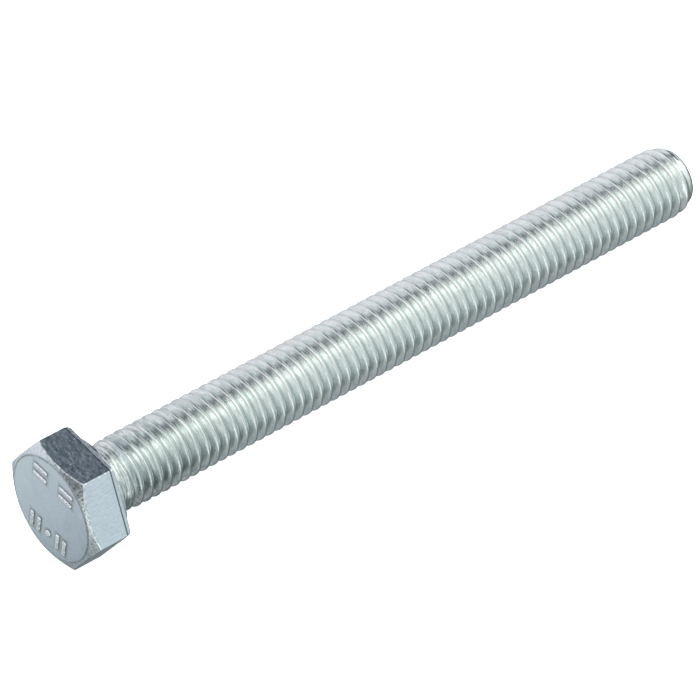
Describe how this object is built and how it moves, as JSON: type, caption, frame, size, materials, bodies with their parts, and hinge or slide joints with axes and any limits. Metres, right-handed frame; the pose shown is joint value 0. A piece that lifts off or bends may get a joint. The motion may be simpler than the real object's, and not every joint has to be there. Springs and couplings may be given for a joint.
{
  "type": "hex bolt",
  "caption": "Zinc plated hexagon head bolt, threaded from just under the head to a chamfered point, with raised marks on the head.",
  "frame": {"origin": "centre of the bearing face under the head, on the bolt's axis", "axes": "+X along the bolt's axis from the head to the point, +Z square to a flat of the hexagon, corners of the hexagon at +Y and -Y"},
  "size_m": [0.0854, 0.0148, 0.0128],
  "materials": {
    "zinc_head": "satin bright zinc plating",
    "zinc_thread": "bright zinc plating on a rolled thread",
    "zinc_marks": "burnished bright zinc plating"
  },
  "bodies": {
    "root": {"hex_head": "zinc_head", "head_band": "zinc_head", "bearing_collar": "zinc_head", "neck": "zinc_thread", "thread_runout": "zinc_thread", "thread_full": "zinc_thread", "thread_point": "zinc_thread", "marks_upper": "zinc_marks", "marks_lower": "zinc_marks"}
  },
  "joints": []
}
